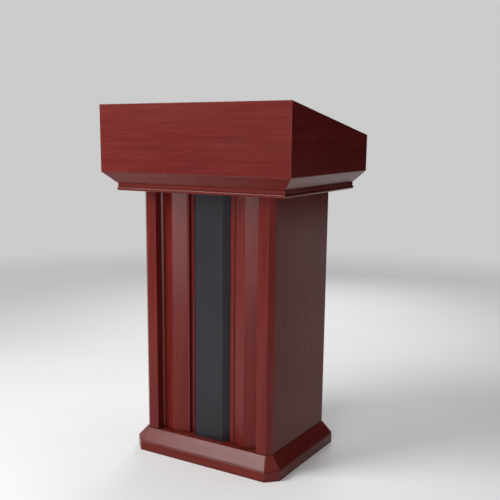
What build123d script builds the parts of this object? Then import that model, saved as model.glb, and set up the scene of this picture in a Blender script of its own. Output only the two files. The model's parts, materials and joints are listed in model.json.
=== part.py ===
from build123d import *
import math
import os

# A free-standing wooden lectern: a sloping head on a recessed column with a plinth.
# Millimetres, +Z up. The audience side faces -Y and the speaker stands at +Y.
# The origin lies on the floor under the middle of the whole outline: the head and its drawer knobs.

# ---------------------------------------------------------------- overall sizes
head_width = 680.0
head_depth = 535.0
total_height = 1150.0            # top of the head's front panel
head_front_height = 210.0        # upright face of the front panel
head_rear_height = 115.0         # the same boards at the speaker's end

# ---------------------------------------------------------------- boards of the head
head_board = 18.0
writing_board_thickness = 15.0
well_depth = 25.0                # writing surface below the top edges of the sides
cleat_width = 18.0
cleat_height = 14.0
cleat_end_gap = 42.0             # from the cleat's rear end to the paper stop, at the least
cleat_clearance = 2.0            # between the cleats and the drawer box below them
paper_stop_lip = 13.0            # how far the rear rail stands above the writing surface
paper_stop_round = 7.0
head_floor_thickness = 18.0
edge_round = 1.0                 # eased edges of every exposed board

# ---------------------------------------------------------------- skirt, neck and bead under the head
skirt_height = 35.0
skirt_inset = 35.0               # at the front and the sides
skirt_rear_inset = 16.0
skirt_seat = 24.0                # flat underside of the skirt that sits on the neck board
neck_height = 13.0
neck_inset = 2.5                 # neck drawn in below the skirt, above the bead
bead_height = 12.0
bead_flat = 0.4                  # narrow flat left between the two halves of the bullnose

# ---------------------------------------------------------------- column
front_overhang = 86.0            # head beyond the column, at the front
side_overhang = 98.0
rear_overhang = 75.0
column_board = 18.0
post_width = 52.0
post_depth = 54.0
corner_chamfer = 16.0
flank_width = 108.0
flank_setback = 32.0             # edge strips of the flank boards behind the faces of the posts
flank_thickness = 10.0           # of the edge strips
flank_strip = 7.0                # narrow strip along each edge of a flank board
flank_tilt = 3.0                 # the outer strip rises this much towards the post
flank_quirk = 2.5                # step back between the strip and the sloping facet
flank_ridge = 17.0               # height of the ridge above the strips
flank_round = 4.0                # rounding of the ridge
backing_thickness = 12.0
insert_margin = 14.0             # strip of backing board each side of the dark insert
insert_thickness = 18.0
insert_bevel = 17.0              # along both long edges of the insert

# ---------------------------------------------------------------- plinth
plinth_height = 73.0
plinth_band = 33.0               # upright band below the slope
plinth_projection = 34.0         # beyond the column, at the front and the sides
plinth_rear_projection = 10.0
plinth_ledge = 2.0               # blunt upper edge of the slope
plinth_groove = 2.4              # half the height of the fine groove between the band and the slope
plinth_groove_depth = 2.0
base_deck_thickness = 18.0
bearer_thickness = 18.0

# ---------------------------------------------------------------- shelf and its pins
shelf_thickness = 18.0
shelf_fraction = 0.50            # height of the shelf within the column
shelf_side_gap = 1.0
shelf_rear_setback = 36.0        # shelf behind the rear face of the column
shelf_front_gap = 2.0
pin_radius = 2.5
pin_hole_depth = 10.0
pin_length = 18.0
pin_inset = 50.0                 # pin from the front or rear end of the shelf
pin_row_pitch = 64.0
pin_fit = 0.05

# ---------------------------------------------------------------- doors and hinges
door_thickness = 18.0
door_end_gap = 3.0
door_meeting_gap = 3.0
hinge_leaf = 1.2
hinge_leaf_gap = 0.2             # between the two leaves of a closed hinge
hinge_leaf_width = 30.0
hinge_length = 50.0
hinge_end_distance = 90.0        # hinge centre from the door's top or bottom end
knuckle_radius = 3.2
knuckle_count = 5
knuckle_gap = 0.3
barrel_clearance = 0.3
hinge_pin_radius = 1.25
hinge_pin_fit = 0.05
hinge_pin_head = 2.0
screw_shank_radius = 1.5
screw_shank_length = 12.0
screw_head_radius = 3.0
screw_pitch = 28.0
knob_radius = 13.0
knob_length = 25.0
knob_foot_radius = 9.0
knob_foot_height = 2.0
knob_neck_radius = 5.0
knob_neck_height = 10.0
knob_rim_height = 18.0
knob_edge_distance = 34.0        # knob from the door's meeting edge
knob_height_above_shelf = 150.0

# ---------------------------------------------------------------- catches and lock
catch_width = 40.0
catch_depth = 16.0
catch_height = 14.0
catch_gap = 0.6
catch_edge_distance = 30.0
strike_thickness = 1.2
strike_width = 36.0
strike_height = 12.0
lock_below_knob = 70.0
lock_edge_distance = 26.0
lock_barrel_radius = 9.5
lock_flange_radius = 12.0
lock_flange_height = 2.0
lock_plug_radius = 7.0
lock_fit = 0.05
lock_plug_proud = 0.6
lock_cam_thickness = 2.0
lock_cam_gap = 0.5
lock_cam_width = 14.0
lock_cam_reach = 40.0
lock_spigot_radius = 4.0
lock_spigot_proud = 1.0
keyway_width = 1.6
keyway_height = 8.0
keyway_depth = 14.0

# ---------------------------------------------------------------- drawer under the writing board
drawer_gap = 2.5
drawer_front_thickness = 18.0
drawer_front_height = 60.0
drawer_sill_gap = 3.0
drawer_side_thickness = 12.0
drawer_side_drop = 8.0           # box sides below the top edge of the drawer front
drawer_side_rise = 4.0           # box sides above the bottom edge of the drawer front
drawer_length = 250.0
drawer_bottom_thickness = 5.0
drawer_bottom_height = 8.0       # underside of the bottom panel above the drawer front's edge
groove_depth = 6.0
groove_fit = 0.1
drawer_knob_spacing = 0.5        # distance between the two knobs as a part of the drawer's width

# ---------------------------------------------------------------- telescopic drawer slides
slide_space = 13.0               # between the drawer box and the side of the head
slide_sheet = 1.2
slide_height = 35.0
slide_reach = 9.0                # depth of the fixed channel
slide_step = 1.4                 # clearance between nested channels, above and below
slide_web_gap = 1.0
middle_reach = 8.3
moving_reach = 8.0

# ---------------------------------------------------------------- knock-down fittings
disc_radius = 7.5
disc_depth = 12.5
disc_distance = 34.0             # centre of the disc from the end of the board
bolt_radius = 3.0
bolt_thread_radius = 2.5
bolt_thread_length = 9.0
bolt_bore_fit = 0.1
dowel_radius = 4.0
dowel_in_side = 20.0
dowel_in_deck = 9.0
fitting_inset = 55.0             # fittings from the front and rear edges of the side board
dowel_shift = 64.0               # dowel from its neighbouring fitting

# ---------------------------------------------------------------- places worked out from the sizes
head_half = head_width / 2
head_front = -(head_depth + knob_length) / 2
head_rear = head_front + head_depth
head_inner = head_half - head_board
head_bottom = total_height - head_front_height
slope = (head_front_height - head_rear_height) / head_depth
neck_top = head_bottom - skirt_height
bead_top = neck_top - neck_height
column_top = bead_top - bead_height
column_half = head_half - side_overhang
column_inner = column_half - column_board
column_front = head_front + front_overhang
column_rear = head_rear - rear_overhang
recess_half = column_half - post_width
flank_front = column_front + flank_setback
backing_front = flank_front + flank_thickness
backing_rear = backing_front + backing_thickness
flank_inner = recess_half - flank_width
insert_half = flank_inner - insert_margin
deck_top = plinth_height
shelf_top = deck_top + (column_top - deck_top) * shelf_fraction
shelf_bottom = shelf_top - shelf_thickness
shelf_front = backing_rear + shelf_front_gap
shelf_rear = column_rear - shelf_rear_setback
door_inside = column_rear - door_thickness
door_low = deck_top + door_end_gap
door_high = column_top - door_end_gap
hinge_gap = 2 * hinge_leaf + hinge_leaf_gap
door_hinge_edge = column_inner - hinge_gap
door_meeting_edge = door_meeting_gap / 2
pin_x = column_inner - hinge_gap / 2
pin_y = column_rear + knuckle_radius + barrel_clearance
hinge_heights = (door_low + hinge_end_distance, door_high - hinge_end_distance)
knob_z = shelf_top + knob_height_above_shelf
lock_z = knob_z - lock_below_knob
drawer_low = head_bottom + drawer_sill_gap
drawer_high = drawer_low + drawer_front_height
drawer_inside = head_rear - drawer_front_thickness
drawer_back = drawer_inside - drawer_length
box_half = head_inner - slide_space
box_inner = box_half - drawer_side_thickness
box_low = drawer_low + drawer_side_rise
box_high = drawer_high - drawer_side_drop
drawer_floor_low = drawer_low + drawer_bottom_height
drawer_floor_high = drawer_floor_low + drawer_bottom_thickness
slide_middle_z = (box_low + box_high) / 2
fitting_ys = (column_front + corner_chamfer + fitting_inset, column_rear - fitting_inset)

SIDES = ((-1, "left"), (1, "right"))


def edge_height(y):
    """Height of the sloping top edge of the head at a distance along the depth."""
    return total_height - slope * (y - head_front)


def surface_height(y):
    """Height of the writing surface, parallel to the top edge."""
    return edge_height(y) - well_depth


def span(side, near, far):
    """An X span on one side of the middle, given as distances from the middle."""
    return (near, far) if side > 0 else (-far, -near)


def block(x_span, y_span, z_span, mode=Mode.ADD):
    """A rectangular block in the current part, from its three (low, high) spans."""
    with BuildSketch(Plane.XY.offset(z_span[0])) as plan:
        with Locations((sum(x_span) / 2, sum(y_span) / 2)):
            Rectangle(x_span[1] - x_span[0], y_span[1] - y_span[0])
    extrude(plan.sketch, amount=z_span[1] - z_span[0], mode=mode)


def rod_x(x_span, y, z, radius, mode=Mode.ADD):
    """A round rod or bore along X in the current part."""
    with BuildSketch(Plane.YZ.offset(x_span[0])) as section:
        with Locations((y, z)):
            Circle(radius)
    extrude(section.sketch, amount=x_span[1] - x_span[0], mode=mode)


def rod_y(y_span, x, z, radius, mode=Mode.ADD):
    """A round rod or bore along Y in the current part."""
    with BuildSketch(Plane.XZ.offset(-y_span[1])) as section:
        with Locations((x, z)):
            Circle(radius)
    extrude(section.sketch, amount=y_span[1] - y_span[0], mode=mode)


def rod_z(z_span, x, y, radius, mode=Mode.ADD):
    """A round rod or bore along Z in the current part."""
    with BuildSketch(Plane.XY.offset(z_span[0])) as section:
        with Locations((x, y)):
            Circle(radius)
    extrude(section.sketch, amount=z_span[1] - z_span[0], mode=mode)


def prism(points, z_span, mode=Mode.ADD):
    """An upright prism in the current part, from the corners of its plan."""
    with BuildSketch(Plane.XY.offset(z_span[0])) as plan:
        with BuildLine():
            Polyline(*points, close=True)
        make_face()
    extrude(plan.sketch, amount=z_span[1] - z_span[0], mode=mode)


def side_profile(points, x_span, mode=Mode.ADD):
    """A solid along X in the current part, from the (Y, Z) corners of its profile."""
    with BuildSketch(Plane.YZ.offset(x_span[0])) as profile:
        with BuildLine():
            Polyline(*points, close=True)
        make_face()
    extrude(profile.sketch, amount=x_span[1] - x_span[0], mode=mode)


def cut_above_slope():
    """Trim the current part to the sloping top of the head."""
    beyond = head_depth
    low = (head_front - beyond, edge_height(head_front - beyond))
    high = (head_rear + beyond, edge_height(head_rear + beyond))
    roof = edge_height(head_front - beyond) + beyond
    corners = (low, high, (high[0], roof), (low[0], roof))
    side_profile(corners, (-head_width, head_width), Mode.SUBTRACT)


def rectangle_outline(inset, rear_inset):
    """Corners of the head's plan drawn in by the insets, from the rear right, clockwise."""
    side = head_half - inset
    front = head_front + inset
    rear = head_rear - rear_inset
    return [(side, rear), (side, front), (-side, front), (-side, rear)]


def column_outline(grow, rear_grow):
    """Corners of the column's plan grown outwards, from the rear right, clockwise."""
    side = column_half + grow
    front = column_front - grow
    rear = column_rear + rear_grow
    clip = corner_chamfer + grow * (2 - math.sqrt(2))
    right = [(side, rear), (side, front + clip), (side - clip, front)]
    left = [(-x, y) for x, y in reversed(right)]
    return right + left


def blend_outline(start, end, share):
    """Corners part of the way from one outline to another."""
    return [(a[0] + (b[0] - a[0]) * share, a[1] + (b[1] - a[1]) * share) for a, b in zip(start, end)]


def mitred_length(levels, inner, first):
    """One length of a mitred moulding: outer outlines at their heights, and the inner outline."""
    second = (first + 1) % len(inner)
    with BuildPart() as length:
        for lower, upper in zip(levels, levels[1:]):
            for height, outline in (lower, upper):
                with BuildSketch(Plane.XY.offset(height)):
                    with BuildLine():
                        Polyline(outline[first], outline[second], inner[second], inner[first], close=True)
                    make_face()
            loft(ruled=True)
    return length


def save(piece, name):
    """Label a finished piece and write it as its own file."""
    piece.part.label = name
    export_step(piece.part, f"parts/{name}.step")
    print(name, len(piece.solids()))


os.makedirs("parts", exist_ok=True)

# ================================================================ head
with BuildPart() as head_front_panel:
    corners = [(-head_half, head_front), (head_half, head_front)]
    corners += [(head_inner, head_front + head_board), (-head_inner, head_front + head_board)]
    prism(corners, (head_bottom, total_height))
    cut_above_slope()
    ridge = head_front_panel.edges().filter_by(Axis.X).group_by(Axis.Z)[-1]
    fillet(ridge, edge_round)
save(head_front_panel, "head_front_panel")

for side, name in SIDES:
    with BuildPart() as head_side:
        corners = [(side * head_half, head_front), (side * head_half, head_rear)]
        corners += [(side * head_inner, head_rear), (side * head_inner, head_front + head_board)]
        prism(corners, (head_bottom, total_height))
        cut_above_slope()
        top_face = head_side.faces().filter_by(Axis.Z, reverse=True).sort_by(Axis.Z)[-1]
        rear_edges = head_side.faces().sort_by(Axis.Y)[-1].edges().filter_by(Axis.Z)
        long_edges = top_face.edges().sort_by(SortBy.LENGTH)[-2:]
        fillet(long_edges + rear_edges, edge_round)
    save(head_side, f"head_side_{name}")

writing_drop = writing_board_thickness * math.hypot(1, slope)
with BuildPart() as writing_board:
    ends = (head_front + head_board, head_rear - head_board)
    top_line = [(y, surface_height(y)) for y in ends]
    under_line = [(y, surface_height(y) - writing_drop) for y in reversed(ends)]
    side_profile(top_line + under_line, (-head_inner, head_inner))
save(writing_board, "writing_board")

# The cleats end before the paper stop, or sooner where they would come down on the drawer box.
cleat_drop = writing_drop + cleat_height
cleat_reach = (surface_height(head_front) - cleat_drop - box_high - cleat_clearance) / slope
cleat_rear = min(head_rear - head_board - cleat_end_gap, head_front + cleat_reach)
with BuildPart() as writing_board_cleats:
    ends = (head_front + head_board, cleat_rear)
    top_line = [(y, surface_height(y) - writing_drop) for y in ends]
    under_line = [(y, surface_height(y) - cleat_drop) for y in reversed(ends)]
    for side, name in SIDES:
        side_profile(top_line + under_line, span(side, head_inner - cleat_width, head_inner))
save(writing_board_cleats, "writing_board_cleats")

with BuildPart() as paper_stop_rail:
    rail_low = drawer_high + drawer_gap
    rail_high = surface_height(head_rear - head_board) + paper_stop_lip
    block((-head_inner, head_inner), (head_rear - head_board, head_rear), (rail_low, rail_high))
    fillet(paper_stop_rail.edges().filter_by(Axis.X).group_by(Axis.Z)[-1], paper_stop_round)
save(paper_stop_rail, "paper_stop_rail")

skirt_high = rectangle_outline(0, 0)
skirt_low = rectangle_outline(skirt_inset, skirt_rear_inset)
skirt_inner = blend_outline(skirt_high, skirt_low, 1 + skirt_seat / skirt_inset)
for first, name in enumerate(("right", "front", "left", "rear")):
    skirt = mitred_length([(neck_top, skirt_low), (head_bottom, skirt_high)], skirt_inner, first)
    save(skirt, f"skirt_{name}")

with BuildPart() as head_floor:
    prism(skirt_inner, (neck_top, neck_top + head_floor_thickness))
save(head_floor, "head_floor")

with BuildPart() as neck_board:
    neck_plan = rectangle_outline(skirt_inset + neck_inset, skirt_rear_inset + neck_inset)
    prism(neck_plan, (bead_top, neck_top))
save(neck_board, "neck_board")

# The bead is a board with a bullnose edge, drilled from below for the column's fittings.
with BuildPart() as bead_board:
    prism(skirt_low, (column_top, bead_top))
    rims = bead_board.edges().filter_by(Axis.Z, reverse=True)
    fillet(rims, (bead_height - bead_flat) / 2)
    for side, name in SIDES:
        x = side * (column_half - column_board / 2)
        for y, turn in zip(fitting_ys, (1, -1)):
            rod_z((column_top, column_top + bolt_thread_length), x, y, bolt_thread_radius, Mode.SUBTRACT)
            dowel_y = y + turn * dowel_shift
            rod_z((column_top, column_top + dowel_in_deck), x, dowel_y, dowel_radius, Mode.SUBTRACT)
save(bead_board, "bead_board")

# ================================================================ column
for side, name in SIDES:
    with BuildPart() as corner_post:
        chamfer_end = column_front + corner_chamfer
        post_rear = column_front + post_depth
        corners = [(recess_half, column_front), (column_half - corner_chamfer, column_front)]
        corners += [(column_half, chamfer_end), (column_inner, chamfer_end)]
        corners += [(column_inner, post_rear), (recess_half, post_rear)]
        prism([(side * x, y) for x, y in corners], (deck_top, column_top))
        arrises = corner_post.edges().filter_by(Axis.Z).group_by(Axis.Y)[0]
        fillet(arrises, edge_round)
    save(corner_post, f"corner_post_{name}")

with BuildPart() as front_backing_panel:
    block((-recess_half, recess_half), (backing_front, backing_rear), (deck_top, column_top))
save(front_backing_panel, "front_backing_panel")

for side, name in SIDES:
    with BuildPart() as flank_board:
        outer_strip = recess_half - flank_strip
        inner_strip = flank_inner + flank_strip
        ridge = ((recess_half + flank_inner) / 2, flank_front - flank_ridge)
        quirk = flank_front + flank_quirk
        tilted = flank_front - flank_tilt
        corners = [(recess_half, backing_front), (recess_half, tilted), (outer_strip, flank_front)]
        corners += [(outer_strip, quirk), ridge, (inner_strip, quirk)]
        corners += [(inner_strip, flank_front), (flank_inner, flank_front), (flank_inner, backing_front)]
        prism([(side * x, y) for x, y in corners], (deck_top, column_top))
        fillet(flank_board.edges().filter_by(Axis.Z).group_by(Axis.Y)[0], flank_round)
    save(flank_board, f"flank_board_{name}")

with BuildPart() as insert_panel:
    y_span = (backing_front - insert_thickness, backing_front)
    block((-insert_half, insert_half), y_span, (deck_top, column_top))
    chamfer(insert_panel.edges().filter_by(Axis.Z).group_by(Axis.Y)[0], insert_bevel)
save(insert_panel, "insert_panel")

end_steps = ((column_top, -1), (deck_top, 1))


def drill_for_fittings(side):
    """Bore the ends of a side board for the cam discs, their bolts and the dowels."""
    x = side * (column_half - column_board / 2)
    for y, turn in zip(fitting_ys, (1, -1)):
        for end, inward in end_steps:
            disc_z = end + inward * disc_distance
            rod_x(span(side, column_inner, column_inner + disc_depth), y, disc_z, disc_radius, Mode.SUBTRACT)
            bore = sorted((end, disc_z))
            rod_z(bore, x, y, bolt_radius + bolt_bore_fit, Mode.SUBTRACT)
            hole = sorted((end, end + inward * dowel_in_side))
            rod_z(hole, x, y + turn * dowel_shift, dowel_radius, Mode.SUBTRACT)


shelf_pin_ys = (shelf_front + pin_inset, shelf_rear - pin_inset)
screw_offsets = (-screw_pitch / 2, screw_pitch / 2)
screw_y = column_rear - hinge_leaf_width / 2
for side, name in SIDES:
    with BuildPart() as column_side:
        y_span = (column_front + corner_chamfer, column_rear)
        block(span(side, column_inner, column_half), y_span, (deck_top, column_top))
        drill_for_fittings(side)
        for y in shelf_pin_ys:
            for row in (-1, 0, 1):
                z = shelf_bottom - pin_radius + row * pin_row_pitch
                hole = span(side, column_inner, column_inner + pin_hole_depth)
                rod_x(hole, y, z, pin_radius + pin_fit, Mode.SUBTRACT)
        for hinge_z in hinge_heights:
            for offset in screw_offsets:
                hole = span(side, column_inner, column_inner + screw_shank_length - hinge_leaf)
                rod_x(hole, screw_y, hinge_z + offset, screw_shank_radius, Mode.SUBTRACT)
    save(column_side, f"column_side_{name}")

with BuildPart() as shelf:
    shelf_half = column_inner - shelf_side_gap
    block((-shelf_half, shelf_half), (shelf_front, shelf_rear), (shelf_bottom, shelf_top))
    fillet(shelf.edges().filter_by(Axis.X).group_by(Axis.Y)[-1], edge_round)
save(shelf, "shelf")

with BuildPart() as shelf_pins:
    for side, name in SIDES:
        pin_end = column_inner + pin_hole_depth
        for y in shelf_pin_ys:
            rod_x(span(side, pin_end - pin_length, pin_end), y, shelf_bottom - pin_radius, pin_radius)
save(shelf_pins, "shelf_pins")

# ================================================================ knock-down fittings
# A disc turned in the side board pulls on a bolt that is screwed into the board it joins.
bolt_x = column_half - column_board / 2
with BuildPart() as cam_discs:
    for side, name in SIDES:
        for y in fitting_ys:
            for end, inward in end_steps:
                disc_z = end + inward * disc_distance
                rod_x(span(side, column_inner, column_inner + disc_depth), y, disc_z, disc_radius)
                bore = sorted((end, disc_z))
                rod_z(bore, side * bolt_x, y, bolt_radius + bolt_bore_fit, Mode.SUBTRACT)
save(cam_discs, "cam_discs")

with BuildPart() as cam_bolts:
    for side, name in SIDES:
        for y in fitting_ys:
            for end, inward in end_steps:
                shank = sorted((end, end + inward * disc_distance))
                thread = sorted((end, end - inward * bolt_thread_length))
                rod_z(shank, side * bolt_x, y, bolt_radius)
                rod_z(thread, side * bolt_x, y, bolt_thread_radius)
save(cam_bolts, "cam_bolts")

with BuildPart() as wood_dowels:
    for side, name in SIDES:
        for y, turn in zip(fitting_ys, (1, -1)):
            for end, inward in end_steps:
                length = sorted((end - inward * dowel_in_deck, end + inward * dowel_in_side))
                rod_z(length, side * bolt_x, y + turn * dowel_shift, dowel_radius)
save(wood_dowels, "wood_dowels")

# ================================================================ plinth
column_plan = column_outline(0, 0)
plinth_plan = column_outline(plinth_projection, plinth_rear_projection)
ledge_plan = blend_outline(column_plan, plinth_plan, plinth_ledge / plinth_projection)
groove_plan = blend_outline(plinth_plan, column_plan, plinth_groove_depth / plinth_projection)
plinth_levels = [(0, plinth_plan), (plinth_band - plinth_groove, plinth_plan), (plinth_band, groove_plan)]
plinth_levels += [(plinth_band + plinth_groove, plinth_plan), (plinth_height, ledge_plan)]
plinth_names = ("right", "corner_right", "front", "corner_left", "left", "rear")
for first, name in enumerate(plinth_names):
    moulding = mitred_length(plinth_levels, column_plan, first)
    save(moulding, f"plinth_{name}")

deck_low = deck_top - base_deck_thickness
with BuildPart() as base_deck:
    prism(column_plan, (deck_low, deck_top))
    for side, name in SIDES:
        for y, turn in zip(fitting_ys, (1, -1)):
            thread = (deck_top - bolt_thread_length, deck_top)
            rod_z(thread, side * bolt_x, y, bolt_thread_radius, Mode.SUBTRACT)
            hole = (deck_top - dowel_in_deck, deck_top)
            rod_z(hole, side * bolt_x, y + turn * dowel_shift, dowel_radius, Mode.SUBTRACT)
save(base_deck, "base_deck")

with BuildPart() as plinth_bearers:
    first_bearer = column_front + corner_chamfer
    last_bearer = column_rear - bearer_thickness
    for y in (first_bearer, (first_bearer + last_bearer) / 2, last_bearer):
        block((-column_half, column_half), (y, y + bearer_thickness), (0, deck_low))
save(plinth_bearers, "plinth_bearers")

# ================================================================ hinges
knuckle_pitch = hinge_length / knuckle_count


def knuckle_spans(hinge_z, first):
    """Heights of every second knuckle of a hinge, starting at the given one."""
    low = hinge_z - hinge_length / 2
    starts = [low + index * knuckle_pitch for index in range(first, knuckle_count, 2)]
    return [(z + knuckle_gap / 2, z + knuckle_pitch - knuckle_gap / 2) for z in starts]


def hinge_leaf_solid(side, leaf_span, hinge_z, first):
    """A flat leaf with its screw holes and its rolled knuckles, in the current part."""
    heights = (hinge_z - hinge_length / 2, hinge_z + hinge_length / 2)
    plate_end = column_rear - barrel_clearance
    block(leaf_span, (column_rear - hinge_leaf_width, plate_end), heights)
    for knuckle in knuckle_spans(hinge_z, first):
        block(leaf_span, (plate_end, pin_y), knuckle)
        rod_z(knuckle, side * pin_x, pin_y, knuckle_radius)
        rod_z(knuckle, side * pin_x, pin_y, hinge_pin_radius + hinge_pin_fit, Mode.SUBTRACT)
    for offset in screw_offsets:
        rod_x(leaf_span, screw_y, hinge_z + offset, screw_head_radius, Mode.SUBTRACT)


with BuildPart() as hinge_frame_leaves:
    for side, name in SIDES:
        for hinge_z in hinge_heights:
            leaf_span = span(side, column_inner - hinge_leaf, column_inner)
            hinge_leaf_solid(side, leaf_span, hinge_z, 0)
save(hinge_frame_leaves, "hinge_frame_leaves")

with BuildPart() as hinge_pins:
    for side, name in SIDES:
        for hinge_z in hinge_heights:
            low = hinge_z - hinge_length / 2
            high = hinge_z + hinge_length / 2
            rod_z((low, high), side * pin_x, pin_y, hinge_pin_radius)
            rod_z((low - 1, low), side * pin_x, pin_y, hinge_pin_head)
            rod_z((high, high + 1), side * pin_x, pin_y, hinge_pin_head)
save(hinge_pins, "hinge_pins")

with BuildPart() as hinge_frame_screws:
    for side, name in SIDES:
        for hinge_z in hinge_heights:
            for offset in screw_offsets:
                start = column_inner - hinge_leaf
                rod_x(span(side, start, column_inner), screw_y, hinge_z + offset, screw_head_radius)
                shank = span(side, column_inner, start + screw_shank_length)
                rod_x(shank, screw_y, hinge_z + offset, screw_shank_radius)
save(hinge_frame_screws, "hinge_frame_screws")

# ================================================================ catches
with BuildPart() as magnetic_catches:
    catch_rear = door_inside - strike_thickness - catch_gap
    for side, name in SIDES:
        x_span = span(side, catch_edge_distance, catch_edge_distance + catch_width)
        block(x_span, (catch_rear - catch_depth, catch_rear), (column_top - catch_height, column_top))
    fillet(magnetic_catches.edges().filter_by(Axis.X).group_by(Axis.Z)[0], edge_round)
save(magnetic_catches, "magnetic_catches")


# ================================================================ doors
def knob(x, y, z):
    """A turned knob standing out of a face towards +Y, in the current part."""
    with BuildSketch(Plane.XY.offset(z)) as profile:
        with BuildLine():
            foot = (x, y)
            foot_edge = (x + knob_foot_radius, y)
            foot_top = (x + knob_foot_radius, y + knob_foot_height)
            waist = (x + knob_neck_radius, y + (knob_foot_height + knob_neck_height) / 2)
            neck = (x + knob_neck_radius, y + knob_neck_height)
            rim = (x + knob_radius, y + knob_rim_height)
            tip = (x, y + knob_length)
            Polyline(foot, foot_edge, foot_top)
            TangentArc(waist, foot_top, tangent=(0, -1))
            Line(waist, neck)
            TangentArc(neck, rim, tangent=(1, 0))
            TangentArc(tip, rim, tangent=(1, 0))
            Line(tip, foot)
        make_face()
    revolve(profile.sketch, axis=Axis((x, y, z), (0, 1, 0)))


lock_x = door_meeting_edge + lock_edge_distance
knob_x = door_meeting_edge + knob_edge_distance
for side, name in SIDES:
    with BuildPart() as door_panel:
        x_span = span(side, door_meeting_edge, door_hinge_edge)
        block(x_span, (door_inside, column_rear), (door_low, door_high))
        outer_rim = door_panel.faces().sort_by(Axis.Y)[-1].edges()
        fillet(outer_rim, edge_round)
        for hinge_z in hinge_heights:
            for offset in screw_offsets:
                hole = span(side, door_hinge_edge + hinge_leaf - screw_shank_length, door_hinge_edge)
                rod_x(hole, screw_y, hinge_z + offset, screw_shank_radius, Mode.SUBTRACT)
        if name == "right":
            rod_y((door_inside, column_rear), lock_x, lock_z, lock_barrel_radius, Mode.SUBTRACT)
    save(door_panel, f"door_{name}_panel")

    with BuildPart() as door_hinge_leaves:
        for hinge_z in hinge_heights:
            leaf_span = span(side, door_hinge_edge, door_hinge_edge + hinge_leaf)
            hinge_leaf_solid(side, leaf_span, hinge_z, 1)
    save(door_hinge_leaves, f"door_{name}_hinge_leaves")

    with BuildPart() as door_hinge_screws:
        for hinge_z in hinge_heights:
            for offset in screw_offsets:
                end = door_hinge_edge + hinge_leaf
                rod_x(span(side, door_hinge_edge, end), screw_y, hinge_z + offset, screw_head_radius)
                shank = span(side, end - screw_shank_length, door_hinge_edge)
                rod_x(shank, screw_y, hinge_z + offset, screw_shank_radius)
    save(door_hinge_screws, f"door_{name}_hinge_screws")

    with BuildPart() as door_knob:
        knob(side * knob_x, column_rear, knob_z)
    save(door_knob, f"door_{name}_knob")

    with BuildPart() as door_strike_plate:
        strike_low = catch_edge_distance + (catch_width - strike_width) / 2
        x_span = span(side, strike_low, strike_low + strike_width)
        top = door_high - (catch_height - strike_height) / 2
        block(x_span, (door_inside - strike_thickness, door_inside), (top - strike_height, top))
    save(door_strike_plate, f"door_{name}_strike_plate")

# ================================================================ lock
with BuildPart() as door_lock_housing:
    rod_y((door_inside, column_rear), lock_x, lock_z, lock_barrel_radius)
    rod_y((column_rear, column_rear + lock_flange_height), lock_x, lock_z, lock_flange_radius)
    rim = door_lock_housing.edges().filter_by(GeomType.CIRCLE).sort_by(Axis.Y)[-1]
    fillet(rim, lock_flange_height / 2)
    bore = (door_inside, column_rear + lock_flange_height)
    rod_y(bore, lock_x, lock_z, lock_plug_radius + lock_fit, Mode.SUBTRACT)
save(door_lock_housing, "door_lock_housing")

cam_high = door_inside - lock_cam_gap
cam_low = cam_high - lock_cam_thickness
plug_face = column_rear + lock_flange_height + lock_plug_proud
with BuildPart() as door_lock_plug:
    rod_y((cam_high, plug_face), lock_x, lock_z, lock_plug_radius)
    rod_y((cam_low - lock_spigot_proud, cam_high), lock_x, lock_z, lock_spigot_radius)
    slot_x = (lock_x - keyway_width / 2, lock_x + keyway_width / 2)
    slot_z = (lock_z - keyway_height / 2, lock_z + keyway_height / 2)
    block(slot_x, (plug_face - keyway_depth, plug_face), slot_z, Mode.SUBTRACT)
save(door_lock_plug, "door_lock_plug")

with BuildPart() as door_lock_cam:
    half = lock_cam_width / 2
    rod_y((cam_low, cam_high), lock_x, lock_z, half)
    block((lock_x - half, lock_x + half), (cam_low, cam_high), (lock_z - lock_cam_reach, lock_z))
    rod_y((cam_low, cam_high), lock_x, lock_z, lock_spigot_radius, Mode.SUBTRACT)
save(door_lock_cam, "door_lock_cam")

# ================================================================ drawer
with BuildPart() as drawer_front:
    front_half = head_inner - drawer_gap
    block((-front_half, front_half), (drawer_inside, head_rear), (drawer_low, drawer_high))
    fillet(drawer_front.faces().sort_by(Axis.Y)[-1].edges(), edge_round)
    groove_z = (drawer_floor_low - groove_fit, drawer_floor_high + groove_fit)
    groove_x = box_inner + groove_depth
    block((-groove_x, groove_x), (drawer_inside, drawer_inside + groove_depth), groove_z, Mode.SUBTRACT)
save(drawer_front, "drawer_front")

for side, name in SIDES:
    with BuildPart() as drawer_side:
        block(span(side, box_inner, box_half), (drawer_back, drawer_inside), (box_low, box_high))
        block(span(side, box_inner, groove_x), (drawer_back, drawer_inside), groove_z, Mode.SUBTRACT)
    save(drawer_side, f"drawer_side_{name}")

with BuildPart() as drawer_back_board:
    y_span = (drawer_back, drawer_back + drawer_side_thickness)
    block((-box_inner, box_inner), y_span, (groove_z[1], box_high))
save(drawer_back_board, "drawer_back")

with BuildPart() as drawer_bottom:
    half = groove_x - groove_fit
    y_span = (drawer_back, drawer_inside + groove_depth - groove_fit)
    block((-half, half), y_span, (drawer_floor_low, drawer_floor_high))
save(drawer_bottom, "drawer_bottom")

with BuildPart() as drawer_knobs:
    for side, name in SIDES:
        knob(side * front_half * drawer_knob_spacing, head_rear, (drawer_low + drawer_high) / 2)
save(drawer_knobs, "drawer_knobs")


# ================================================================ drawer slides
def channel(side, back, mouth, half_height):
    """A sheet channel along the drawer's travel, from back web to open mouth, in the current part."""
    inward = 1 if mouth > back else -1
    y_span = (drawer_back, drawer_inside)
    outer = sorted((back, mouth))
    z_span = (slide_middle_z - half_height, slide_middle_z + half_height)
    block(span(side, *outer), y_span, z_span)
    hollow = sorted((back + inward * slide_sheet, mouth))
    z_span = (z_span[0] + slide_sheet, z_span[1] - slide_sheet)
    block(span(side, *hollow), y_span, z_span, Mode.SUBTRACT)


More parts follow.
